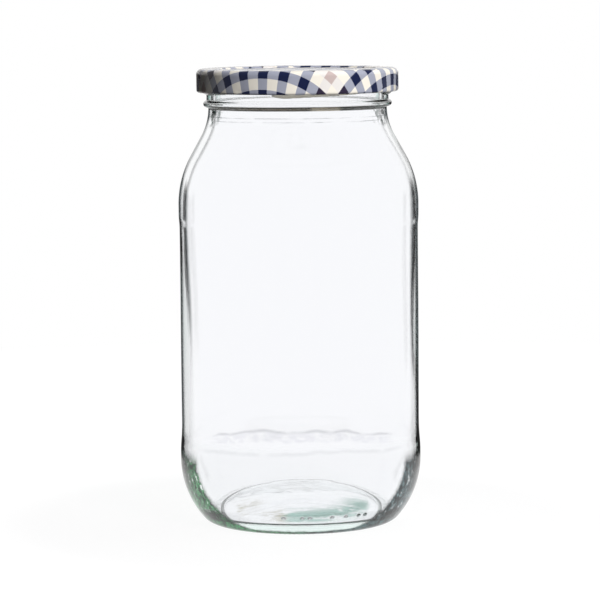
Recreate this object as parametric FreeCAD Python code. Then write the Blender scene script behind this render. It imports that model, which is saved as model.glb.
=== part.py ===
import FreeCAD, Part
import math
import os

# A one-litre preserving jar with a printed twist-off lid, standing on its base.
# Millimetres, +Z up, origin at the middle of the base on the plane it stands on.
# The glass is one blown piece. The lid is one pressed piece of tinplate with a
# ring of sealing compound in its channel, and it rests on the rim of the glass.

# --- glass: body -------------------------------------------------------------
body_radius = 48.1            # outside of the band round the foot, the widest place
side_wall = 2.6               # glass at the label panel, shoulder and neck
panel_recess = 0.6            # label panel, set in from the foot band
panel_height = 85.2
foot_band_height = 2.5
lower_step_height = 4.0       # soft step from the foot band to the panel
upper_step_height = 3.0       # soft step from the panel to the shoulder band
shoulder_band_proud = 0.3     # shoulder band, standing out from the panel
shoulder_band_height = 6.5

# --- glass: heel and base ----------------------------------------------------
heel_height = 25.7            # where the heel's curve reaches the foot band
heel_sweep = 35.6             # radius of the heel's long curve
bearing_round = 6.6           # radius of the curve that rolls on to the table
bearing_land = 1.2            # width of the flat ring the jar stands on
push_up_step = 1.5            # rise just inside the bearing ring
push_up_step_width = 2.6
push_up_height = 3.6          # rise of the underside at the middle
inner_heel_sweep = 42.0       # radius of the heel's long curve inside
inner_heel_lean = 36.0        # degrees the inside leans in by the end of that curve
inner_heel_drop = 0.49        # straight stretch below it, measured upright
floor_corner_round = 2.0      # inside corner between heel and floor
floor_corner_rise = 4.0       # degrees the floor slopes up as it leaves the corner
base_thickness = 4.4          # glass at the middle of the base
floor_crown = 3.0             # how far the floor swells up at the middle

# --- glass: shoulder and neck ------------------------------------------------
shoulder_slope = 29.0         # degrees from upright
shoulder_round = 40.0         # largest radius of the curve on to the shoulder
neck_round = 23.0             # largest radius of the curve into the neck
neck_radius = 35.4
neck_straight = 0.1           # upright glass between the neck's curve and the bead
least_slope = 0.05            # share of the shoulder that stays straight, whatever the curves

# --- glass: finish, the part the lid goes over -------------------------------
bead_proud = 2.0              # transfer bead below the thread, out from the neck
bead_section = 1.4            # radius of the bead's own section
finish_proud = 0.7            # wall behind the thread, out from the neck
finish_height = 12.6          # from the middle of the bead to the sealing rim
rim_outer_round = 1.2
rim_inner_round = 0.9

# --- glass: interrupted thread -----------------------------------------------
thread_count = 4
thread_proud = 1.6            # crest, out from the wall of the finish
thread_section = 1.8          # radius of the thread's own round section
thread_length = 62.0          # degrees from the low end to the high end
thread_lead = 9.5             # rise per full turn
thread_above_bead = 4.8       # middle of the low end above the middle of the bead
thread_first = -106.0         # degrees from +X to the low end of the first one
thread_run_out = 10.0         # degrees over which the low end grows out of the wall
thread_run_in = 6.0           # degrees over which the high end dies away
thread_end_size = 0.4         # radius of the section at either end, as a share of the full one
thread_end_proud = 0.1        # how far the ends stand out from the wall
thread_sections = 19

# --- lid ---------------------------------------------------------------------
tinplate = 0.25
skirt_gap = 2.1               # thread crest to the inside of the skirt
lid_height = 9.25
lid_corner = 2.2              # outside radius between top and skirt
curl_radius = 0.95            # rolled hem at the foot of the skirt
curl_turn = 265.0             # degrees
channel_inset = 1.2           # channel's inner edge, inside the bore of the jar
panel_drop = 0.6              # centre panel, below the channel
panel_bend = 0.8              # radius of the two bends between them

# --- lugs pressed inwards from the hem ---------------------------------------
lug_gap = 0.5                 # lug to the wall of the finish
lug_thickness = 0.9
lug_share = 0.43              # width, as a share of the clear space between two threads

# --- sealing ring ------------------------------------------------------------
seal_thickness = 0.95
seal_inside = 0.5             # ring's inner edge, inside the bore of the jar
seal_outside = 1.0            # ring's outer edge, outside the wall of the finish
seal_round = 0.3

# --- sizes that follow -------------------------------------------------------
panel_radius = body_radius - panel_recess
shoulder_band_radius = panel_radius + shoulder_band_proud
inner_radius = panel_radius - side_wall
bore_radius = neck_radius - side_wall
bead_radius = neck_radius + bead_proud
finish_radius = neck_radius + finish_proud
thread_radius = finish_radius + thread_proud
thread_spacing = 360.0 / thread_count
thread_space = thread_spacing - thread_length
lug_width = lug_share * thread_space


def turned(degrees):
    """Sine and cosine of an angle in degrees."""
    angle = math.radians(degrees)
    return math.sin(angle), math.cos(angle)


class Outline:
    """A pen that draws a section in the X-Z plane from straight and round strokes."""

    def __init__(self, radius, height, heading):
        self.radius = radius
        self.height = height
        self.heading = heading
        self.edges = []

    def here(self):
        return FreeCAD.Vector(self.radius, 0, self.height)

    def line_to(self, radius, height):
        before = self.here()
        self.radius, self.height = radius, height
        self.edges.append(Part.makeLine(before, self.here()))

    def line(self, length):
        sine, cosine = turned(self.heading)
        self.line_to(self.radius + length * cosine, self.height + length * sine)

    def arc_to(self, middle, end):
        """A round stroke through middle to end, each given as radius and height."""
        before = self.here()
        through = FreeCAD.Vector(middle[0], 0, middle[1])
        self.radius, self.height = end
        self.edges.append(Part.Arc(before, through, self.here()).toShape())

    def turn(self, angle, bend):
        """A smooth round stroke of radius bend, to the left where angle is positive."""
        side = math.copysign(bend, angle)
        sine, cosine = turned(self.heading)
        centre_radius = self.radius - side * sine
        centre_height = self.height + side * cosine
        stops = []
        for heading in (self.heading + angle / 2, self.heading + angle):
            sine, cosine = turned(heading)
            stops.append((centre_radius + side * sine, centre_height - side * cosine))
        self.arc_to(stops[0], stops[1])
        self.heading += angle

    def soft_step(self, shift, length):
        """Two equal curves that move the stroke sideways, to the left where shift is positive."""
        bend = (length ** 2 + shift ** 2) / (4 * abs(shift))
        angle = math.degrees(2 * math.atan2(shift, length))
        self.turn(angle, bend)
        self.turn(-angle, bend)


def revolve(pens, angle=360.0):
    """Turns the face that the pens' strokes close round the upright axis."""
    edges = []
    for pen in pens:
        edges += pen.edges
    face = Part.Face(Part.Wire(Part.__sortEdges__(edges)))
    return face.revolve(FreeCAD.Vector(0, 0, 0), FreeCAD.Vector(0, 0, 1), angle)


def placed_at(shape, angle):
    """The same shape, turned round the upright axis."""
    copy = shape.copy()
    copy.rotate(FreeCAD.Vector(0, 0, 0), FreeCAD.Vector(0, 0, 1), angle)
    return copy


# --- heights and radii that other shapes are set against ----------------------
def round_share():
    """Share of their largest radius that the shoulder's and neck's curves have room for."""
    room = (1 - least_slope) * (shoulder_band_radius - neck_radius)
    return min(1.0, room / ((shoulder_round + neck_round) * (1 - turned(shoulder_slope)[1])))


def slope_length(radius_change, rounds):
    """Straight stretch left between the shoulder's curve and the neck's, whose radii add up to rounds."""
    sine, cosine = turned(shoulder_slope)
    return (radius_change - rounds * (1 - cosine)) / sine


shoulder_curve = shoulder_round * round_share()
neck_curve = neck_round * round_share()


def neck_height():
    """Where the neck's curve has turned upright."""
    sine, cosine = turned(shoulder_slope)
    below = (heel_height + foot_band_height + lower_step_height + panel_height
             + upper_step_height + shoulder_band_height)
    rounds = shoulder_curve + neck_curve
    return below + rounds * sine + slope_length(shoulder_band_radius - neck_radius, rounds) * cosine


def bead_reach(wall):
    """Height from the middle of the bead to where its section meets a wall of that radius."""
    return math.sqrt(bead_section ** 2 - (wall - bead_radius + bead_section) ** 2)


bead_height = neck_height() + neck_straight + bead_reach(neck_radius)
rim_height = bead_height + finish_height
lid_top = rim_height + seal_thickness + tinplate
curl_height = lid_top - lid_height + curl_radius
lid_radius = thread_radius + skirt_gap + tinplate
heel_centre = body_radius - heel_sweep
heel_hand_over = math.degrees(math.acos((heel_height - bearing_round) / (heel_sweep - bearing_round)))
bearing_radius = heel_centre + (heel_sweep - bearing_round) * turned(heel_hand_over)[0]


def dome_sag(reach, rise, radius):
    """How far a dome of that reach and rise has fallen at a radius."""
    ball = (reach ** 2 + rise ** 2) / (2 * rise)
    return ball - math.sqrt(ball ** 2 - radius ** 2)


# --- glass --------------------------------------------------------------------
def glass_blank():
    """The jar without its thread, turned from one section."""
    pen = Outline(bearing_radius, 0, 0)

    # outside, from the table up to the sealing rim
    pen.turn(heel_hand_over, bearing_round)
    pen.turn(90 - heel_hand_over, heel_sweep)
    pen.line(foot_band_height)
    pen.soft_step(panel_recess, lower_step_height)
    pen.line(panel_height)
    pen.soft_step(-shoulder_band_proud, upper_step_height)
    pen.line(shoulder_band_height)
    pen.turn(shoulder_slope, shoulder_curve)
    pen.line(slope_length(shoulder_band_radius - neck_radius, shoulder_curve + neck_curve))
    pen.turn(-shoulder_slope, neck_curve)
    pen.line(neck_straight)
    pen.arc_to((bead_radius, bead_height), (finish_radius, bead_height + bead_reach(finish_radius)))
    pen.line_to(finish_radius, rim_height - rim_outer_round)
    pen.turn(90, rim_outer_round)
    pen.line_to(bore_radius + rim_inner_round, rim_height)
    pen.turn(90, rim_inner_round)

    # inside, from the rim down to the floor
    inner_shoulder = shoulder_curve - shoulder_band_radius + inner_radius
    inner_neck = neck_curve + side_wall
    floor_middle = push_up_height + base_thickness
    floor_edge = floor_middle - floor_crown
    pen.line_to(bore_radius, neck_height())
    pen.turn(shoulder_slope, inner_neck)
    pen.line(slope_length(inner_radius - bore_radius, inner_shoulder + inner_neck))
    pen.turn(-shoulder_slope, inner_shoulder)
    lean_sine, lean_cosine = turned(inner_heel_lean)
    pen.line_to(inner_radius, floor_edge + inner_heel_sweep * lean_sine + inner_heel_drop
                + floor_corner_round * (1 - lean_sine))
    pen.turn(-inner_heel_lean, inner_heel_sweep)
    pen.line(inner_heel_drop / lean_cosine)
    pen.turn(inner_heel_lean - 90 - floor_corner_rise, floor_corner_round)
    floor_edge = pen.height
    halfway = pen.radius / 2
    sag = dome_sag(pen.radius, floor_middle - floor_edge, halfway)
    pen.arc_to((halfway, floor_middle - sag), (0, floor_middle))

    # underside, from the middle out to the ring the jar stands on
    pen.line_to(0, push_up_height)
    dome_reach = bearing_radius - bearing_land - push_up_step_width
    dome_rise = push_up_height - push_up_step
    halfway = dome_reach / 2
    halfway_height = push_up_height - dome_sag(dome_reach, dome_rise, halfway)
    pen.arc_to((halfway, halfway_height), (dome_reach, push_up_step))
    pen.heading = 0
    pen.soft_step(-push_up_step, push_up_step_width)
    pen.line_to(bearing_radius, 0)
    return revolve([pen])


def thread(low_end):
    """One glass thread, lofted through round sections that follow its slope, half sunk in the wall."""
    wires = []
    for index in range(thread_sections):
        along = thread_length * index / (thread_sections - 1)
        grown = min(1.0, along / thread_run_out, (thread_length - along) / thread_run_in)
        swell = turned(90 * grown)[0]
        bend = thread_section * (thread_end_size + (1 - thread_end_size) * swell)
        crest = finish_radius + thread_end_proud + (thread_radius - finish_radius - thread_end_proud) * swell
        middle = bead_height + thread_above_bead + thread_lead * along / 360
        ring = Part.makeCircle(bend, FreeCAD.Vector(crest - bend, 0, middle), FreeCAD.Vector(0, 1, 0))
        wires.append(placed_at(Part.Wire([ring]), low_end + along))
    return Part.makeLoft(wires, True, False)


def jar():
    threads = [thread(thread_first + index * thread_spacing) for index in range(thread_count)]
    return glass_blank().fuse(threads)


# --- lid ----------------------------------------------------------------------
def lid_side(inset):
    """One face of the lid's sheet from the middle of the top to the end of the curl."""
    bend_angle = math.degrees(math.acos(1 - panel_drop / (2 * panel_bend + tinplate)))
    bend_run = (2 * panel_bend + tinplate) * turned(bend_angle)[0]
    pen = Outline(0, lid_top - panel_drop - inset, 0)
    pen.line(bore_radius - channel_inset - bend_run)
    pen.turn(bend_angle, panel_bend + inset)
    pen.turn(-bend_angle, panel_bend + tinplate - inset)
    pen.line_to(lid_radius - lid_corner, pen.height)
    pen.turn(-90, lid_corner - inset)
    pen.line_to(pen.radius, curl_height)
    pen.turn(-curl_turn, curl_radius - inset)
    return pen


def lid_shell():
    """The pressed sheet with its channel, skirt and rolled hem."""
    outside = lid_side(0)
    inside = lid_side(tinplate)
    ends = Outline(outside.radius, outside.height, 0)
    ends.line_to(inside.radius, inside.height)
    axis = Outline(0, lid_top - panel_drop, 0)
    axis.line_to(0, lid_top - panel_drop - tinplate)
    return revolve([outside, inside, ends, axis])


def lug(start):
    """One tongue of the hem, flattened and pressed in towards the glass."""
    half = lug_thickness / 2
    hem_middle = lid_radius - curl_radius
    tip = finish_radius + lug_gap
    pen = Outline(hem_middle, curl_height - half, 180)
    pen.line(hem_middle - tip - half)
    pen.turn(-180, half)
    pen.line_to(hem_middle, pen.height)
    pen.line_to(hem_middle, curl_height - half)
    return placed_at(revolve([pen], lug_width), start)


def lid():
    first = thread_first + thread_length + (thread_space - lug_width) / 2
    lugs = [lug(first + index * thread_spacing) for index in range(thread_count)]
    return lid_shell().fuse(lugs)


# --- sealing ring -------------------------------------------------------------
def seal():
    inner = bore_radius - seal_inside
    outer = finish_radius + seal_outside
    pen = Outline(inner + seal_round, rim_height, 0)
    pen.line_to(outer - seal_round, rim_height)
    pen.turn(90, seal_round)
    pen.line_to(outer, rim_height + seal_thickness)
    pen.line_to(inner, rim_height + seal_thickness)
    pen.line_to(inner, rim_height + seal_round)
    pen.heading = -90
    pen.turn(90, seal_round)
    return revolve([pen])


os.makedirs("parts", exist_ok=True)
for name, make in (("jar", jar), ("lid", lid), ("seal", seal)):
    solid = make()
    solid.exportStep("parts/" + name + ".step")
    box = solid.BoundBox
    print(name, "valid", solid.isValid(), "solids", len(solid.Solids), "volume", round(solid.Volume, 1),
          "z", round(box.ZMin, 2), round(box.ZMax, 2), "across", round(box.XLength, 2))
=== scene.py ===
import math
import random

import bpy
import numpy as np
from mathutils import Matrix, Vector


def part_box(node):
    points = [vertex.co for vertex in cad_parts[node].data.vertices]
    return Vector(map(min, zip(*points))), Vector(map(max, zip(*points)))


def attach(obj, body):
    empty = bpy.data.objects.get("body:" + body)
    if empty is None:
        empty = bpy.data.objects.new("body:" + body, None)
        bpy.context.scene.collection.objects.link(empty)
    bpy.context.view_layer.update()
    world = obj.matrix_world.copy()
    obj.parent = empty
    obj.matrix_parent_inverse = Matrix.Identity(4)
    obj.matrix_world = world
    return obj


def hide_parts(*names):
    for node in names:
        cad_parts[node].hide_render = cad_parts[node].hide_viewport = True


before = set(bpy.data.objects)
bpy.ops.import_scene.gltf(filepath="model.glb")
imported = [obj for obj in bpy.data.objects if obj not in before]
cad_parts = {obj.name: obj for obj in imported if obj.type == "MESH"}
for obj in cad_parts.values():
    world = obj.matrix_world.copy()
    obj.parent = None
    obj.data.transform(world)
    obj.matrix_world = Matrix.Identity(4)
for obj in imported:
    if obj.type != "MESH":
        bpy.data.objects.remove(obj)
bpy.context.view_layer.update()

# --- the glass jar ------------------------------------------------------------
# A one-litre jar of clear soda-lime glass with a faint green cast, blown in one
# piece in a two-part mould. The outside takes the mould's shape, the inside is
# left wavy by the air, and the rim and threads were formed before the body.

MM = 0.001


class Template:
    """A turner's template: points of radius and height in millimetres, drawn stroke by stroke.

    The heading is in degrees, 0 outwards and 90 up. A stroke's steps are how many straight pieces it has.
    """

    def __init__(self, radius, height):
        self.points = [(radius, height)]
        self.heading = 0.0

    def here(self):
        """The latest point's number, which finds the place again."""
        return len(self.points) - 1

    def line_to(self, radius, height, steps=1):
        r, z = self.points[-1]
        for step in range(1, steps + 1):
            share = step / steps
            self.points.append((r + (radius - r) * share, z + (height - z) * share))

    def line(self, length, steps):
        angle = math.radians(self.heading)
        r, z = self.points[-1]
        self.line_to(r + length * math.cos(angle), z + length * math.sin(angle), steps)

    def turn(self, angle, bend, steps):
        """A round stroke of radius bend, to the left where angle is positive."""
        side = math.copysign(bend, angle)
        start = math.radians(self.heading)
        r, z = self.points[-1]
        middle_r, middle_z = r - side * math.sin(start), z + side * math.cos(start)
        for step in range(1, steps + 1):
            along = start + math.radians(angle) * step / steps
            self.points.append((middle_r + side * math.sin(along), middle_z - side * math.cos(along)))
        self.heading += angle

    def soft_step(self, shift, length, steps):
        """Two equal curves that move the stroke sideways, to the left where shift is positive."""
        bend = (length ** 2 + shift ** 2) / (4 * abs(shift))
        angle = math.degrees(2 * math.atan2(shift, length))
        self.turn(angle, bend, steps)
        self.turn(-angle, bend, steps)

    def soften(self, first, last, passes):
        """Rounds off the corners between two places, as fire polishing does."""
        path = np.array(self.points)
        for _ in range(passes):
            neighbours = path[first:last - 1] + path[first + 2:last + 1]
            path[first + 1:last] += 0.25 * (neighbours - 2 * path[first + 1:last])
        self.points = [tuple(point) for point in path]


def spun(name, radii, heights, angles):
    """A closed skin of rings round the upright axis, with angles that run from the front.

    Its first and last rows lie on the axis.
    """
    rows, columns = radii.shape
    across = radii[1:-1] * np.sin(angles)
    deep = -radii[1:-1] * np.cos(angles)
    ring_points = np.stack([across, deep, heights[1:-1]], axis=-1).reshape(-1, 3)
    ends = [(0.0, 0.0, heights[0, 0]), (0.0, 0.0, heights[-1, 0])]
    points = np.vstack([ring_points, ends]) * MM
    rings = rows - 2
    first, last = rings * columns, rings * columns + 1
    column = np.arange(columns)
    beside = (column + 1) % columns
    faces = []
    for row in range(rings - 1):
        low, high = row * columns, (row + 1) * columns
        faces += np.stack([low + column, low + beside, high + beside, high + column], axis=1).tolist()
    faces += np.stack([np.full(columns, first), beside, column], axis=1).tolist()
    top = (rings - 1) * columns
    faces += np.stack([np.full(columns, last), top + column, top + beside], axis=1).tolist()
    mesh = bpy.data.meshes.new(name)
    mesh.from_pydata(points.tolist(), [], faces)
    mesh.shade_smooth()
    piece = bpy.data.objects.new(name, mesh)
    bpy.context.scene.collection.objects.link(piece)
    return piece


def ripples(seed, count, turns, rises):
    """Smooth random waves over angle and height, about 1 at their highest."""
    chance = random.Random(seed)
    waves = []
    for _ in range(count):
        turn, rise = chance.randint(*turns), chance.uniform(*rises)
        waves.append((turn, rise, chance.uniform(0, 2 * math.pi), chance.uniform(0.5, 1)))

    def height_at(angles, heights):
        total = 0.0
        for turn, rise, start, size in waves:
            total = total + size * np.cos(turn * angles + rise * heights + start)
        return total / (0.9 * math.sqrt(count))

    return height_at


# sizes of the blown body, in millimetres and degrees
body_radius, side_wall = 48.06, 2.6
panel_radius, shoulder_band_radius = 47.5, 47.8
foot_band_height, lower_step_length, panel_height = 1.0, 13.5, 77.2
upper_step_length, shoulder_band_height = 6.0, 3.5
inner_radius = panel_radius - side_wall
neck_radius, finish_radius, bead_radius, bead_section = 35.4, 36.1, 37.4, 1.4
neck_straight = 0.1
bore_radius = neck_radius - side_wall
shoulder_slope, shoulder_round, neck_round = 29.0, 40.0, 23.0
finish_height, rim_outer_round, rim_inner_round = 12.6, 1.2, 0.9
heel_height, heel_sweep, dotted_turn = 25.7, 35.6, 14.0
bearing_round, bearing_land = 6.6, 1.2
push_up_height, push_up_step, push_up_step_width = 3.6, 1.5, 2.6
inner_heel_start, inner_heel_bend, inner_heel_turn, inner_corner_radius = 31.0, 42.0, 36.0, 2.0
inner_floor_edge, floor_slope, floor_middle = 5.0, 4.0, 8.0

slope_sine, slope_cosine = math.sin(math.radians(shoulder_slope)), math.cos(math.radians(shoulder_slope))


def slope_length(radius_change, rounds):
    """Straight stretch between the shoulder's curve and the neck's, whose radii add up to rounds."""
    return (radius_change - rounds * (1 - slope_cosine)) / slope_sine


_, jar_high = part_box("jar")
rim_height = jar_high.z / MM
bead_height = rim_height - finish_height
neck_reach = math.sqrt(bead_section ** 2 - (bead_radius - bead_section - neck_radius) ** 2)
neck_height = bead_height - neck_straight - neck_reach

# the bearing curve hands over to the heel's long sweep, and the push-up is a shallow dome
hand_over = math.degrees(math.acos((heel_height - bearing_round) / (heel_sweep - bearing_round)))
bearing_radius = body_radius - heel_sweep + (heel_sweep - bearing_round) * math.sin(math.radians(hand_over))
dome_reach = bearing_radius - bearing_land - push_up_step_width
dome_rise = push_up_height - push_up_step
dome_ball = (dome_reach ** 2 + dome_rise ** 2) / (2 * dome_rise)

glass = Template(0, push_up_height)
glass.turn(-math.degrees(math.asin(dome_reach / dome_ball)), dome_ball, 14)
glass.heading = 0
under_step = glass.here()
glass.soft_step(-push_up_step, push_up_step_width, 6)
glass.line_to(bearing_radius, 0, 4)
land = glass.here()
glass.turn(hand_over, bearing_round, 22)
glass.turn(dotted_turn, heel_sweep, 32)
glass.turn(90 - hand_over - dotted_turn, heel_sweep, 20)
heel_end = glass.here()
glass.line(foot_band_height, 2)
glass.soft_step(body_radius - panel_radius, lower_step_length, 16)
panel_start = glass.here()
glass.line(panel_height, 24)
panel_end = glass.here()
glass.soft_step(panel_radius - shoulder_band_radius, upper_step_length, 8)
glass.line(shoulder_band_height, 3)
glass.turn(shoulder_slope, shoulder_round, 16)
glass.line(slope_length(shoulder_band_radius - neck_radius, shoulder_round + neck_round), 5)
glass.turn(-shoulder_slope, neck_round, 12)
glass.line_to(neck_radius, bead_height - neck_reach)
bead_start = glass.here()
start_turn = math.degrees(math.atan2(-neck_reach, neck_radius - bead_radius + bead_section))
end_reach = math.sqrt(bead_section ** 2 - (finish_radius - bead_radius + bead_section) ** 2)
end_turn = math.degrees(math.atan2(end_reach, finish_radius - bead_radius + bead_section))
glass.heading = start_turn + 90
glass.turn(end_turn - start_turn, bead_section, 18)
bead_end = glass.here()
glass.line_to(finish_radius, rim_height - rim_outer_round, 62)
glass.heading = 90
glass.turn(90, rim_outer_round, 8)
rim_place = glass.here()
glass.line_to(bore_radius + rim_inner_round, rim_height, 2)
glass.turn(90, rim_inner_round, 7)
inner_start = glass.here()
glass.line_to(bore_radius, neck_height, 8)
inner_shoulder = shoulder_round - shoulder_band_radius + inner_radius
inner_neck = neck_round + side_wall
glass.turn(shoulder_slope, inner_neck, 12)
glass.line(slope_length(inner_radius - bore_radius, inner_shoulder + inner_neck), 5)
glass.turn(-shoulder_slope, inner_shoulder, 14)
glass.line_to(inner_radius, inner_heel_start, 28)
glass.turn(-inner_heel_turn, inner_heel_bend, 14)
lean = math.radians(90 - inner_heel_turn)
corner_drop = inner_corner_radius * (1 - math.cos(lean))
glass.line((glass.points[-1][1] - inner_floor_edge - corner_drop) / math.sin(lean), 8)
glass.turn(-(90 - inner_heel_turn) - floor_slope, inner_corner_radius, 10)
inner_end = glass.here()
floor_reach = glass.points[-1][0]
floor_rise = floor_middle - glass.points[-1][1]
floor_ball = (floor_reach ** 2 + floor_rise ** 2) / (2 * floor_rise)
floor_turn = math.degrees(math.asin(floor_reach / floor_ball))
glass.heading = 180 - floor_turn
glass.turn(floor_turn, floor_ball, 16)
glass.points[-1] = (0.0, floor_middle)

# the mould's corners come out a little rounded at the bead, the step underneath and the top of the heel
glass.soften(bead_start - 2, bead_end + 4, 2)
glass.soften(under_step - 2, land, 2)
glass.soften(heel_end - 3, panel_start + 3, 3)

# more columns where the mould's dots are
dot_first, dot_last, fine_turn, coarse_turn = -12.0, 38.0, 0.3, 0.75
fine = np.arange(dot_first, dot_last, fine_turn)
coarse = np.arange(dot_last, 360 + dot_first, coarse_turn)
jar_angles = np.radians(np.concatenate([fine, coarse]))

rows = np.array(glass.points)
jar_radii = np.repeat(rows[:, :1], len(jar_angles), axis=1)
jar_heights = np.repeat(rows[:, 1:], len(jar_angles), axis=1)
row_number = np.arange(len(rows))[:, None]

# four short threads, each climbing from its low end to its high end
thread_count, thread_first, thread_length = 4, -16.0, 62.0
thread_radius, thread_section, thread_lead, thread_above_bead = 37.7, 1.8, 9.5, 4.8
thread_run_out, thread_run_in, thread_end_size, thread_bluntness = 10.0, 6.0, 0.45, 0.8
finish_rows = (row_number > bead_end) & (row_number <= rim_place)
for number in range(thread_count):
    along = (np.degrees(jar_angles) - thread_first - number * 360 / thread_count) % 360
    grown = np.clip(np.minimum(along / thread_run_out, (thread_length - along) / thread_run_in), 0, 1)
    swell = np.sin(grown * math.pi / 2)
    proud = (thread_radius - finish_radius) * swell
    reach = thread_section * (thread_end_size + (1 - thread_end_size) * swell)
    off_line = (jar_heights - bead_height - thread_above_bead - thread_lead * along / 360) / reach
    crest = proud * np.clip(1 - off_line ** 2, 0, 1) ** thread_bluntness
    jar_radii += np.where(finish_rows, crest, 0)

# the inside is wavy where the air pressed it, the outside only a little
inside_wave, outside_wave = 0.16, 0.045
inside_waves = ripples(3, 9, (1, 7), (-0.09, 0.09))
outside_waves = ripples(5, 7, (2, 9), (-0.12, 0.12))
inner_wall_rows = (row_number > inner_start + 6) & (row_number < inner_end - 4)
outer_wall_rows = (row_number > heel_end) & (row_number < bead_start)
above_table, below_rim = rows[:, 1:], rim_height - rows[:, 1:]


def faded_in(distance, start, length):
    """0 up to the start, 1 a length further on, and an even slope between."""
    return np.clip((distance - start) / length, 0, 1)


inside_fade = faded_in(above_table, 12, 20) * faded_in(below_rim, 14, 20)
blown = inside_wave * inside_fade * inside_waves(jar_angles, jar_heights)
jar_radii += np.where(inner_wall_rows, blown, 0)
outside_fade = faded_in(above_table, 30, 12) * faded_in(below_rim, 16, 20)
sunk = outside_wave * outside_fade * (outside_waves(jar_angles, jar_heights) - 1)
jar_radii += np.where(outer_wall_rows, sunk, 0)

# the seam that the mould's two halves leave, on both sides
seam_at, seam_width, seam_proud = 32.0, 0.6, 0.05
panel_rows = (row_number > panel_start) & (row_number < panel_end)
for seam in (seam_at, seam_at + 180):
    away = (np.degrees(jar_angles) - seam + 180) % 360 - 180
    ridge = seam_proud * np.exp(-(away / seam_width) ** 2)
    jar_radii += np.where(panel_rows, ridge, 0)

# seven round dots of the mould's code on the heel
dot_height, dot_radius, dot_proud, dot_bluntness = 7.9, 0.72, 0.5, 0.7
heel_radius_there, heel_lean = 39.5, math.radians(50)
# the dots' dark rims are painted shade, worked out here for the glass's colour
dark_ring_radius, dark_ring_width = 0.8 * dot_radius, 0.28
heel_rows = (row_number > land) & (row_number < heel_end)
dark_rings = np.zeros(jar_radii.shape)
for dot in (-9.1, 0.5, 4.4, 16.0, 23.6, 31.0, 35.0):
    across = (jar_angles - math.radians(dot)) * heel_radius_there
    up = (jar_heights - dot_height) / math.sin(heel_lean)
    from_middle = np.sqrt(across ** 2 + up ** 2)
    dark_ring = np.exp(-((from_middle - dark_ring_radius) / dark_ring_width) ** 2)
    dark_rings += np.where(heel_rows, dark_ring, 0)
    bump = dot_proud * np.clip(1 - (across ** 2 + up ** 2) / dot_radius ** 2, 0, 1) ** dot_bluntness
    bump = np.where(heel_rows, bump, 0)
    jar_radii += bump * math.sin(heel_lean)
    jar_heights -= bump * math.cos(heel_lean)

# short bars round the bearing edge, which keep the hot base off the conveyor
bar_count, bar_depth = 120, 0.28
bearing_rows = (row_number > land - 3) & (row_number < land + 9)
bars = 0.5 + 0.5 * np.cos(bar_count * jar_angles)
jar_heights += np.where(bearing_rows, bar_depth * bars, 0)

jar_glass = spun("jar_glass", jar_radii, jar_heights, jar_angles)


def spread(piece, name, values):
    """A pair of values for each point of a piece, kept as a flat map of that name."""
    mesh = piece.data
    flat = mesh.uv_layers.new(name=name)
    corner_points = np.zeros(len(mesh.loops), dtype=np.int32)
    mesh.loops.foreach_get("vertex_index", corner_points)
    flat.uv.foreach_set("vector", values[corner_points].astype(np.float32).ravel())


def for_points(first, second):
    """Two values for each point of the jar, from two masks of its rows and columns."""
    pair = [np.broadcast_to(mask, jar_radii.shape)[1:-1].ravel() for mask in (first, second)]
    return np.vstack([np.stack(pair, axis=-1), [(0, 0), (0, 0)]])


# one map tells the outside from the inside, and the floor's inner corner. The other marks where the dots'
# rims get painted shade
outer_rows = (row_number > land) & (row_number <= inner_start)
corner_rows = (row_number > inner_end - 10) & (row_number <= inner_end)
spread(jar_glass, "faces_of_glass", for_points(outer_rows, corner_rows))
spread(jar_glass, "painted_dot_rims", for_points(np.clip(dark_rings, 0, 1), 0))


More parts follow.
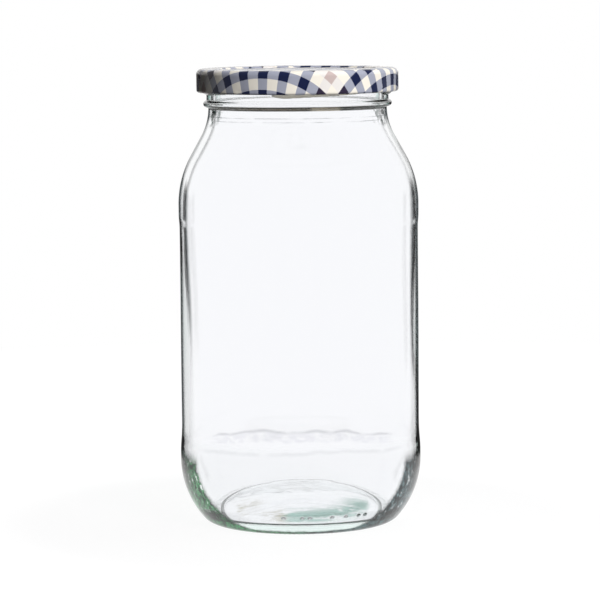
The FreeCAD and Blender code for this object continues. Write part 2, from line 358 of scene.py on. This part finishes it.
class Shade:
    """A socket of a material's nodes.

    Arithmetic on it adds Math nodes, and node() adds any other.
    """

    def __init__(self, tree, socket=None):
        self.tree = tree
        self.socket = socket

    def node(self, kind, settings=None, inputs=None, output=0):
        made = self.tree.nodes.new("ShaderNode" + kind)
        for key, value in (settings or {}).items():
            setattr(made, key, value)
        for key, value in (inputs or {}).items():
            if isinstance(value, Shade):
                self.tree.links.new(value.socket, made.inputs[key])
            else:
                made.inputs[key].default_value = value
        return Shade(self.tree, made.outputs[output])

    def math(self, operation, *values):
        return self.node("Math", {"operation": operation}, dict(enumerate(values)))

    def __add__(self, other):
        return self.math("ADD", self, other)

    def __sub__(self, other):
        return self.math("SUBTRACT", self, other)

    def __mul__(self, other):
        return self.math("MULTIPLY", self, other)

    def __truediv__(self, other):
        return self.math("DIVIDE", self, other)

    def __pow__(self, other):
        return self.math("POWER", self, other)

    def __rsub__(self, other):
        return self.math("SUBTRACT", other, self)

    def __abs__(self):
        return self.math("ABSOLUTE", self)

    __radd__ = __add__
    __rmul__ = __mul__

    def apart(self):
        """The three numbers of a place or direction."""
        split = self.node("SeparateXYZ", {}, {0: self}).socket.node
        return [Shade(self.tree, output) for output in split.outputs]

    def give_out(self, depth=None, world=False):
        """Makes this shader what the material or world shows, and depth what its inside does."""
        made = self.tree.nodes.new("ShaderNodeOutputWorld" if world else "ShaderNodeOutputMaterial")
        self.tree.links.new(self.socket, made.inputs["Surface"])
        if depth:
            self.tree.links.new(depth.socket, made.inputs["Volume"])

    def ramp(self, low, high):
        """0 below low, 1 above high, and smooth between."""
        return self.node("MapRange", {"interpolation_type": "SMOOTHSTEP"},
                         {"Value": self, "From Min": low, "From Max": high})

    def colour(self, off, on):
        """The colour off where this is 0, and on where it is 1."""
        return self.node("Mix", {"data_type": "RGBA"}, {0: self, 6: off, 7: on}, 2)

    def stretched(self, *scale):
        """This place with each direction multiplied, so that a noise over it comes out drawn or squeezed."""
        return self.node("Mapping", {}, {"Vector": self, "Scale": scale})

    def noise(self, scale, detail=2.0, roughness=0.5):
        """Random patches over this place, smaller as the scale grows."""
        return self.node("TexNoise", {}, {
            "Vector": self, "Scale": scale, "Detail": detail, "Roughness": roughness})

    def bump(self, strength, distance):
        """How the surface faces where this is its relief."""
        return self.node("Bump", {}, {"Strength": strength, "Distance": distance, "Height": self})


def new_material(name):
    material = bpy.data.materials.new(name)
    material.use_nodes = True
    material.node_tree.nodes.clear()
    return material, Shade(material.node_tree)


def colour_of(red, green, blue):
    """A paint maker's 0 to 255 colour as the renderer's numbers."""
    shares = (red / 255, green / 255, blue / 255)
    return tuple(c / 12.92 if c <= 0.04 else ((c + 0.055) / 1.055) ** 2.4 for c in shares) + (1.0,)


clear_glass, shade = new_material("clear_glass")
place = shade.node("TexCoord", output="Object")
to_right, to_back, upward = place.apart()
outside, at_corner, _ = shade.node("UVMap", {"uv_map": "faces_of_glass"}).apart()
jar_width = 0.096
right_side = (to_right / jar_width + 0.5).ramp(0.15, 0.85)
facing = shade.node("LayerWeight", inputs={"Blend": 0.5}, output="Facing")

# clear where looked through squarely, and painted dark where looked along, more so on the right:
# painted shade that stands in for the dark surroundings seen at the glass's edges
clear_wall, clear_foot = (0.975, 0.975, 0.99, 1), (0.965, 0.965, 0.98, 1)
edge_wall, edge_foot = (0.014, 0.018, 0.020, 1), (0.012, 0.028, 0.018, 1)
low_down = 1 - upward.ramp(0.004, 0.045)
clear = low_down.colour(clear_wall, clear_foot)
edge = low_down.colour(edge_wall, edge_foot)
grazing = (facing + right_side * outside * 0.03).ramp(0.735, 0.83)
blotches = place.noise(260.0, 4.0, 0.6)
wrinkles = place.stretched(1, 1, 6).noise(90.0, 3.0)
in_front = 1 - to_back.ramp(-0.006, 0.006)

# a faint wavy line where the hot glass settled in the mould, lower at the back, with a hazy band below it
settle_height, settle_waver, settle_tilt = 0.0286, 0.0045, 0.053
settle_grey, settle_haze = (0.40, 0.40, 0.44, 1), (0.80, 0.80, 0.85, 1)
settling = place.stretched(1, 1, 0.2).noise(60.0, 3.0)
above_line = upward - settle_height - settling * settle_waver + to_back * settle_tilt
inner_middle = (1 - outside) * (1 - abs(to_right).ramp(0.034, 0.040))
on_line = (1 - abs(above_line).ramp(0.0, 0.0013)) * settling.ramp(0.3, 0.5)
line_strength = 0.3 + to_back.ramp(0, 0.01) * 0.5
clear = (on_line * inner_middle * line_strength).colour(clear, settle_grey)
hazy = above_line.ramp(-0.0065, -0.0045) * (1 - above_line.ramp(-0.0012, 0.0002)) * to_back.ramp(0.005, 0.02)
clear = (hazy * inner_middle * blotches.ramp(0.35, 0.6)).colour(clear, settle_haze)

# the inner corner round the floor is a thin dark line of painted shade, in front only
painted_corner_shade, corner_strength = (0.10, 0.13, 0.13, 1), 0.5
clear = (at_corner * in_front * corner_strength).colour(clear, painted_corner_shade)

# the push-up under the base throws patches of teal and tan; they are painted reflection, in front only
push_up_tan, push_up_teal = (0.30, 0.27, 0.17, 1), (0.09, 0.26, 0.20, 1)
off_axis = (to_right * to_right + to_back * to_back) ** 0.5
streaks = place.stretched(0.6, 1.8, 1).noise(75.0, 4.0, 0.6)
in_push_up = off_axis.ramp(0.014, 0.024) * (1 - off_axis.ramp(0.0265, 0.0285))
in_push_up = in_push_up * (1 - outside) * in_front * (1 - upward.ramp(0.008, 0.009))
patches = (streaks + blotches * 0.3).ramp(0.58, 0.74) * in_push_up
patch_colour = (to_right / 0.02 + 0.5).ramp(0.05, 0.3).colour(push_up_tan, push_up_teal)
clear = patches.colour(clear, patch_colour)

# the bearing edge in front: a black line of painted shade above a light band, and below it dark green,
# the thick glass's own green deepened by painted shade, darkest towards the ends
black_line_height, black = 0.0051, (0.0004, 0.0006, 0.0006, 1)
edge_green, edge_light_green = (0.0003, 0.0025, 0.001, 1), (0.08, 0.24, 0.15, 1)
end_green = (0.0002, 0.0016, 0.0008, 1)
black_line = (1 - abs(upward - black_line_height).ramp(0.0001, 0.0004)) * in_front * outside
clear = black_line.colour(clear, black)
unevenness = (blotches - 0.5) * 0.0016
towards_ends = abs(to_right).ramp(0.018, 0.030)
at_bottom = 1 - (upward + unevenness - towards_ends * 0.003).ramp(0.0014, 0.0026)
bottom_green = blotches.ramp(0.40, 0.62).colour(edge_green, edge_light_green)
ends = abs(to_right / 0.03).ramp(0.2, 0.95)
clear = (at_bottom * outside * in_front).colour(clear, ends.colour(bottom_green, end_green))

# each dot of the mould's code has a dark rim of painted shade, where its edge bends the light away
dot_dark = (0.001, 0.002, 0.002, 1)
dot_rims, _, _ = shade.node("UVMap", {"uv_map": "painted_dot_rims"}).apart()
clear = dot_rims.colour(clear, dot_dark)

# the bead in front shows the lid's brown underside, with one beige stretch, as painted reflection, and faint
# rings lie below it
band_height, ring_heights = 0.1658, (0.1622, 0.1607)
band_middle, band_edge = (0.07, 0.055, 0.035, 1), (0.006, 0.005, 0.004, 1)
band_right, band_beige = (0.006, 0.007, 0.006, 1), (0.37, 0.32, 0.235, 1)
ring_grey = (0.30, 0.31, 0.33, 1)
off_band = abs(upward - band_height)
on_band = (1 - off_band.ramp(0.00065, 0.0009)) * outside * in_front
beige = to_right.ramp(0.0045, 0.006) * (1 - to_right.ramp(0.0155, 0.017))
reflected_lid_brown = off_band.ramp(0.0001, 0.0005).colour(band_middle, band_edge)
reflected_lid_brown = to_right.ramp(0.014, 0.018).colour(reflected_lid_brown, band_right)
clear = on_band.colour(clear, beige.colour(reflected_lid_brown, band_beige))
for ring_height in ring_heights:
    ring = (1 - abs(upward - ring_height).ramp(0.00005, 0.00025)) * outside * in_front
    clear = (ring * wrinkles.ramp(0.38, 0.6)).colour(clear, ring_grey)

# the neck's sides are blotched with painted dark shade where looked along, and the ends of the threads with
# green, partly the thick glass's own green and partly painted shade
neck_dark_edge, finish_green = (0.004, 0.010, 0.008, 1), (0.10, 0.30, 0.24, 1)
on_neck = upward.ramp(0.1575, 0.1595) * (1 - upward.ramp(0.1645, 0.166))
beside_neck = (facing + (blotches - 0.5) * 0.5).ramp(0.58, 0.68) * on_neck
clear = (beside_neck * blotches.ramp(0.40, 0.52)).colour(clear, neck_dark_edge)
on_finish = upward.ramp(0.1655, 0.1665)
finish_ends = (facing + (blotches - 0.5) * 0.7).ramp(0.62, 0.80) * on_finish
clear = finish_ends.colour(clear, finish_green)

# the painted edge shade is paler at the heel, and on the shoulder it is painted lighter on the right than on
# the left;
# the inside only darkens high up
shoulder_left, shoulder_right = (0.02, 0.025, 0.025, 1), (0.35, 0.36, 0.36, 1)
heel_edge = (0.22, 0.28, 0.25, 1)
on_shoulder = upward.ramp(0.132, 0.141) * (1 - upward.ramp(0.156, 0.163))
edge = on_shoulder.colour(edge, right_side.colour(shoulder_left, shoulder_right))
edge = upward.ramp(0.030, 0.040).colour(heel_edge, edge)
grazing = grazing * (outside + (1 - outside) * upward.ramp(0.050, 0.085))

# the thick heel is green on the left and grey on the right: the thick glass's own green, with painted light
# and shade for light running along inside it, and bright flecks of painted glint
green_deep, green_lit = (0.0001, 0.0015, 0.0004, 1), (0.006, 0.075, 0.015, 1)
grey_deep, grey_lit = (0.00005, 0.0002, 0.0003, 1), (0.012, 0.028, 0.032, 1)
in_heel = (1 - upward.ramp(0.026, 0.032)) * outside
facets = place.stretched(1, 1, 0.6).noise(480.0, 4.0, 0.7)
painted_glints = facets.ramp(0.60, 0.64) * 0.9
along_heel = (facing + (facets - 0.5) * 0.08).ramp(0.47, 0.53) * in_heel * (1 - painted_glints)
heel_green = facets.ramp(0.42, 0.56).colour(green_deep, green_lit)
heel_grey = facets.ramp(0.45, 0.58).colour(grey_deep, grey_lit)
heel_deep = right_side.ramp(0.35, 0.65).colour(heel_green, heel_grey)
tint_and_painted_shade = along_heel.colour(grazing.colour(clear, edge), heel_deep)

# the skin is faintly uneven all over, more so round the heel, with a few dull smudges
orange_peel = place.noise(60.0, 3.0)
long_waves = place.stretched(1, 1, 0.25).noise(45.0, 2.0)
heel_relief = facets * in_heel * facing.ramp(0.5, 0.58) * 1.5
skin = (orange_peel * 0.3 + long_waves + heel_relief).bump(0.10, 0.0006)
smudge = place.noise(18.0, 4.0).ramp(0.55, 0.8) * 0.02
surface = shade.node("BsdfPrincipled", {}, {
    "Base Color": tint_and_painted_shade, "Roughness": smudge, "IOR": 1.5, "Transmission Weight": 1.0, "Normal": skin})

# light that only casts the jar's shadow goes nearly straight through, and thick glass is greener
lets_light_by = shade.node("BsdfTransparent", {}, {"Color": (0.955, 0.965, 0.96, 1)})
shadow_ray = shade.node("LightPath", output="Is Shadow Ray")
seen = shade.node("MixShader", {}, {0: shadow_ray, 1: surface, 2: lets_light_by})
depth = shade.node("VolumeAbsorption", {}, {"Color": (0.60, 0.90, 0.80, 1), "Density": 5.0})
seen.give_out(depth)

jar_glass.data.materials.append(clear_glass)
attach(jar_glass, "root")
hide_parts("jar")

# --- the sealing ring ---------------------------------------------------------
# A ring of soft white compound, run into the lid's channel as a paste and cured
# there. It sits between the lid and the glass rim, and carries the lid.

compound, shade = new_material("cured_compound")
place = shade.node("TexCoord", output="Object")
mottle = place.noise(300.0, 4.0)
flow = place.noise(1500.0, 2.0)
dull_white, clean_white = colour_of(214, 210, 199), colour_of(228, 225, 216)
compound_white = mottle.ramp(0.35, 0.65).colour(dull_white, clean_white)
soft_skin = flow.bump(0.3, 0.0001)
satin = 0.42 + mottle * 0.15
shade.node("BsdfPrincipled", {}, {
    "Base Color": compound_white, "Roughness": satin, "IOR": 1.5, "Normal": soft_skin}).give_out()

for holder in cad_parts["seal"].material_slots:
    holder.link = "OBJECT"
    holder.material = compound

# --- the lid ------------------------------------------------------------------
# A twist-off lid pressed from thin tinplate. The sheet is printed flat with a
# gingham of navy and taupe on cream, and varnished, then drawn over into a skirt,
# and its edge is rolled into a hem that is pressed in at four places to grip.

tinplate, lid_corner, lid_height = 0.25, 2.2, 9.25
curl_radius, curl_turn = 0.95, 265.0
panel_drop, panel_bend, channel_inset = 0.6, 0.8, 1.2
_, lid_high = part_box("lid")
lid_top = lid_high.z / MM
lid_radius = 40.05
curl_height = lid_top - lid_height + curl_radius
bend_angle = math.degrees(math.acos(1 - panel_drop / (2 * panel_bend + tinplate)))
bend_run = (2 * panel_bend + tinplate) * math.sin(math.radians(bend_angle))


def sheet_side(inset):
    """One face of the lid's sheet, from the middle out to the end of the hem, and where its corner starts."""
    side = Template(0, lid_top - panel_drop - inset)
    side.line_to(bore_radius - channel_inset - bend_run, side.points[-1][1], 8)
    side.turn(bend_angle, panel_bend + inset, 5)
    side.turn(-bend_angle, panel_bend + tinplate - inset, 5)
    side.line_to(lid_radius - lid_corner, side.points[-1][1], 4)
    corner = side.here()
    side.turn(-90, lid_corner - inset, 12)
    side.line_to(side.points[-1][0], curl_height, 14)
    side.turn(-curl_turn, curl_radius - inset, 26)
    return side, corner


printed, corner_start = sheet_side(0)
lacquered, _ = sheet_side(tinplate)
lid_rows = np.array(lacquered.points + printed.points[::-1])
lid_angles = np.radians(np.arange(0, 360, 0.75))
lid_radii = np.repeat(lid_rows[:, :1], len(lid_angles), axis=1)
lid_heights = np.repeat(lid_rows[:, 1:], len(lid_angles), axis=1)

# the hem is squeezed flat and pushed inwards at the four lugs
lug_count, lug_first, lug_width, lug_reach, lug_flat = 4, 54.0, 12.0, 2.5, 0.5
lug_spread, lug_ease, lug_dent = 1.0, 2.5, 0.12
hem_middle, hem_inside = lid_radius - curl_radius, 37.0
hem_top, hem_fade = curl_height + curl_radius * 1.3, curl_radius * 0.6
lug_middle, lug_spacing = lug_first + lug_width / 2, 360 / lug_count
from_lug = (np.degrees(lid_angles) - lug_middle + lug_spacing / 2) % lug_spacing - lug_spacing / 2
pressed = np.clip((lug_width / 2 + lug_spread - np.abs(from_lug)) / lug_ease, 0, 1)
pressed = pressed ** 2 * (3 - 2 * pressed)
in_hem = np.clip((hem_top - lid_heights) / hem_fade, 0, 1) * (lid_radii > hem_inside)
inward = np.clip((hem_middle - lid_radii) / curl_radius, 0, 1)
lid_radii -= pressed * in_hem * (inward * (lug_reach - curl_radius) + lug_dent)
lid_heights += (curl_height - lid_heights) * pressed * in_hem * lug_flat * (lid_radii < hem_middle)

# pressing and handling leave the sheet a little uneven
dent_depth, skirt_inside, skirt_top = 0.04, 36.0, lid_top - 1.0
dents = ripples(11, 6, (2, 9), (-0.3, 0.3))
skirt_rows = (lid_rows[:, :1] > skirt_inside) & (lid_rows[:, 1:] < skirt_top)
lid_radii += np.where(skirt_rows, dent_depth * (dents(lid_angles, lid_heights) - 1), 0)

lid_shell = spun("printed_lid", lid_radii, lid_heights, lid_angles)
lid_mesh = lid_shell.data

# where each point of the skirt lay on the flat printed sheet; drawing keeps the sheet's area
outline = np.array(printed.points)
step_area = (outline[1:, 0] + outline[:-1, 0]) * np.hypot(*np.diff(outline, axis=0).T)
skirt_area = np.concatenate([[0], np.cumsum(step_area[corner_start:])])
flat_radius = outline[:, 0].copy()
flat_radius[corner_start:] = np.sqrt(outline[corner_start, 0] ** 2 + skirt_area)
sheet_radius = np.concatenate([flat_radius, flat_radius[::-1]])
ring_radius = np.repeat(sheet_radius[1:-1, None], len(lid_angles), axis=1)
flat_place = np.stack([ring_radius * np.sin(lid_angles), ring_radius * np.cos(lid_angles)], axis=-1)
flat_place = np.vstack([flat_place.reshape(-1, 2), [(0, 0), (0, 0)]])
spread(lid_shell, "flat_sheet", flat_place)

print_varnish, shade = new_material("printed_varnish")
sheet = shade.node("UVMap", {"uv_map": "flat_sheet"})
place = shade.node("TexCoord", output="Object")
sheet_x, sheet_y, _ = sheet.apart()
print_turn = math.radians(20.6)
along_print = sheet_x * math.cos(print_turn) + sheet_y * math.sin(print_turn)
across_print = sheet_y * math.cos(print_turn) - sheet_x * math.sin(print_turn)


def stripes(position, first, spacing, width, taupe_at):
    """Where the coloured stripes run, in millimetres of the flat sheet, and which of them are taupe."""
    ink_spread, taupe_every = 0.07, 7.0
    count = (position - first) / spacing + 0.5
    number = count.math("FLOOR", count)
    off_middle = abs(count - number - 0.5) * spacing
    stripe = 1 - off_middle.ramp(width / 2 - ink_spread, width / 2 + ink_spread)
    past_taupe = number.math("FLOORED_MODULO", number - taupe_at, taupe_every)
    taupe = 1 - past_taupe.math("MINIMUM", past_taupe, 1.0)
    return stripe, taupe


warp, warp_taupe = stripes(along_print, 0.85, 8.48, 4.05, 3)
weft, weft_taupe = stripes(across_print, 0.98, 7.80, 3.85, 4)
cream, slate, navy = colour_of(240, 234, 222), colour_of(160, 163, 178), colour_of(12, 24, 62)
pale_taupe, taupe, plum = colour_of(230, 225, 221), colour_of(196, 178, 174), colour_of(44, 36, 58)
over_cream = warp.colour(cream, warp_taupe.colour(slate, pale_taupe))
over_navy = warp.colour(slate, warp_taupe.colour(navy, plum))
over_taupe = warp.colour(pale_taupe, warp_taupe.colour(plum, taupe))
gingham = weft.colour(over_cream, weft_taupe.colour(over_navy, over_taupe))
ink_grain = sheet.noise(9.0, 3.0).ramp(0.3, 0.7)
worn = ink_grain.colour((0.95, 0.95, 0.96, 1), (1.0, 1.0, 1.0, 1))
ink = shade.node("Mix", {"data_type": "RGBA", "blend_type": "MULTIPLY"}, {0: 1.0, 6: gingham, 7: worn}, 2)
rolled = place.noise(900.0, 2.0)
handled = place.noise(70.0, 4.0).ramp(0.45, 0.75)
sheet_skin = rolled.bump(0.06, 0.0003)
shade.node("BsdfPrincipled", {}, {
    "Base Color": ink, "Roughness": 0.18 + handled * 0.08, "IOR": 1.5, "Specular IOR Level": 0.08,
    "Coat Weight": 0.10, "Coat Roughness": 0.03, "Normal": sheet_skin}).give_out()

inside_lacquer, shade = new_material("inside_lacquer")
place = shade.node("TexCoord", output="Object")
cloud = place.noise(120.0, 3.0)
dark_buff, light_buff = colour_of(186, 178, 160), colour_of(198, 190, 172)
buff = cloud.ramp(0.35, 0.65).colour(dark_buff, light_buff)
brushed = place.noise(1800.0).bump(0.1, 0.0002)
half_gloss = 0.25 + cloud * 0.15
shade.node("BsdfPrincipled", {}, {
    "Base Color": buff, "Roughness": half_gloss, "Metallic": 0.35, "IOR": 1.5, "Normal": brushed}).give_out()

# lacquer covers the inside as far as the hem's hidden end, and the fan of faces at its middle
lid_mesh.materials.append(print_varnish)
lid_mesh.materials.append(inside_lacquer)
lid_columns, hidden_rows = len(lid_angles), 4
lacquer_end = len(lacquered.points) + hidden_rows
face_side = np.zeros(len(lid_mesh.polygons), dtype=np.int32)
face_side[:(lacquer_end - 1) * lid_columns] = 1
face_side[-2 * lid_columns:-lid_columns] = 1
lid_mesh.polygons.foreach_set("material_index", face_side)

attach(lid_shell, "root")
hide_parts("lid")

# --- the floor ----------------------------------------------------------------
# A plain round floor of pale matt board, just under the jar's foot. It shows
# white all round, and keeps the soft shadow near the jar, deepened by painted shade.

floor_radius, floor_corners, floor_drop = 0.6, 96, 0.00002
floor_turns = [2 * math.pi * n / floor_corners for n in range(floor_corners)]
floor_rim = [(floor_radius * math.cos(a), floor_radius * math.sin(a), -floor_drop) for a in floor_turns]
floor_mesh = bpy.data.meshes.new("floor")
floor_mesh.from_pydata(floor_rim, [], [list(range(floor_corners))])
floor = bpy.data.objects.new("floor", floor_mesh)
bpy.context.scene.collection.objects.link(floor)
white_floor, shade = new_material("white_floor")


def looked_at_by(shade):
    """Whether the floor or backdrop is looked at, also in gloss or through glass, and by which of them.

    A matt surface only takes light from it.
    """
    by_eye = shade.node("LightPath", output="Is Camera Ray")
    ways = by_eye.socket.node.outputs
    in_gloss = Shade(shade.tree, ways["Is Glossy Ray"])
    through_glass = Shade(shade.tree, ways["Is Transmission Ray"])
    any_way = by_eye + in_gloss + through_glass
    return any_way.math("MINIMUM", any_way, 1.0), by_eye, through_glass


looked_at, by_eye, _ = looked_at_by(shade)
east, north, _ = shade.node("NewGeometry", output="Position").apart()
# painted shade: close round the jar the floor glows a little dimmer, which deepens its shadow there
near_white, far_white = (0.88, 0.88, 0.88, 1), (0.97, 0.97, 0.97, 1)
out_from_jar = ((east * east + north * north) ** 0.5).ramp(0.10, 0.16)
matt = shade.node("BsdfDiffuse", {}, {"Color": (0.09, 0.09, 0.09, 1)})
shadowed = shade.node("BsdfDiffuse", {}, {"Color": (0.14, 0.14, 0.142, 1)})
lit_white = shade.node("Emission", {}, {"Color": out_from_jar.colour(near_white, far_white)})
pale = shade.node("AddShader", {}, {0: shadowed, 1: lit_white})
seen_floor = shade.node("MixShader", {}, {0: looked_at, 1: matt, 2: pale})

# away from the jar, gloss and glass look past the floor to the backdrop
nothing = shade.node("BsdfTransparent")
looked_past = looked_at * (1 - by_eye) * out_from_jar
shade.node("MixShader", {}, {0: looked_past, 1: seen_floor, 2: nothing}).give_out()
floor_mesh.materials.append(white_floor)

# --- the studio ---------------------------------------------------------------
# White all round, but for dark cards on either side of the backdrop that only
# glass and varnish show. A soft lamp stands in front on the right and one hangs
# overhead, and neither of them shows in the glass.

sky = bpy.data.worlds.new("studio")
bpy.context.scene.world = sky
sky.use_nodes = True
sky.node_tree.nodes.clear()
shade = Shade(sky.node_tree)
looked_at, _, through_glass = looked_at_by(shade)
east, north, up = shade.node("TexCoord", output="Generated").apart()

# the cards' sides are in degrees from straight behind the jar, and their heights are slopes from level
bearing = east.math("ARCTAN2", east, north) * (180 / math.pi)
off_back = abs(bearing)
to_left = (0 - bearing).ramp(-4, 4)
gloss_card = off_back.ramp(8, 12) * (1 - (off_back - to_left * 8).ramp(40, 50))
gloss_card = gloss_card * (0.3 + 0.7 * up.ramp(-0.157, -0.147))
glass_card = off_back.ramp(26.5, 28.5) * (1 - off_back.ramp(36, 40)) * up.ramp(-0.135, -0.105)
card = (1 - through_glass) * gloss_card + through_glass * glass_card
card = card * (1 - up.ramp(0.0, 0.07)) * 0.95
around = shade.node("Background", {}, {"Color": (1, 1, 1, 1), "Strength": 0.025})
backdrop = shade.node("Background", {}, {"Color": card.colour((1, 1, 1, 1), (0, 0, 0, 1))})
shade.node("MixShader", {}, {0: looked_at, 1: around, 2: backdrop}).give_out(world=True)

# each lamp's name, place, width in metres and power in watts
lamps = (
    ("key", (0.53, -0.915, 0.62), 0.22, 15.2),
    ("top", (0.25, 0.1, 1.1), 0.5, 3.2),
)
lamps_aimed_at = Vector((0, 0, 0.1))
for name, spot, width, power in lamps:
    lamp = bpy.data.lights.new(name, "AREA")
    lamp.size = width
    lamp.energy = power
    stand = bpy.data.objects.new(name, lamp)
    bpy.context.scene.collection.objects.link(stand)
    stand.location = spot
    stand.rotation_mode = "QUATERNION"
    stand.rotation_quaternion = (lamps_aimed_at - Vector(spot)).to_track_quat("-Z", "Y")
    stand.visible_camera = False
    stand.visible_glossy = False
    stand.visible_transmission = False

# the thick heel needs many bounces, or light is lost in it
bpy.context.scene.cycles.max_bounces = 24
bpy.context.scene.cycles.glossy_bounces = 16
bpy.context.scene.cycles.transmission_bounces = 24

# --- the camera ---------------------------------------------------------------
# A long lens, 1.2 metres away and a little above the lid, looking slightly down.
# It is rolled half a degree about the line it looks along.

camera_place, aimed_at = Vector((0.00026, -1.2, 0.2146)), Vector((0.00026, 0.0, 0.0884))
camera_roll = math.radians(-0.53)
camera_data = bpy.data.cameras.new("camera")
camera_data.sensor_width = 36.0
camera_data.lens = 181.5
camera = bpy.data.objects.new("camera", camera_data)
bpy.context.scene.collection.objects.link(camera)
look = (aimed_at - camera_place).to_track_quat("-Z", "Y").to_matrix().to_4x4()
camera.matrix_world = Matrix.Translation(camera_place) @ look @ Matrix.Rotation(camera_roll, 4, "Z")
bpy.context.scene.camera = camera

bpy.context.scene.view_settings.view_transform = "Standard"
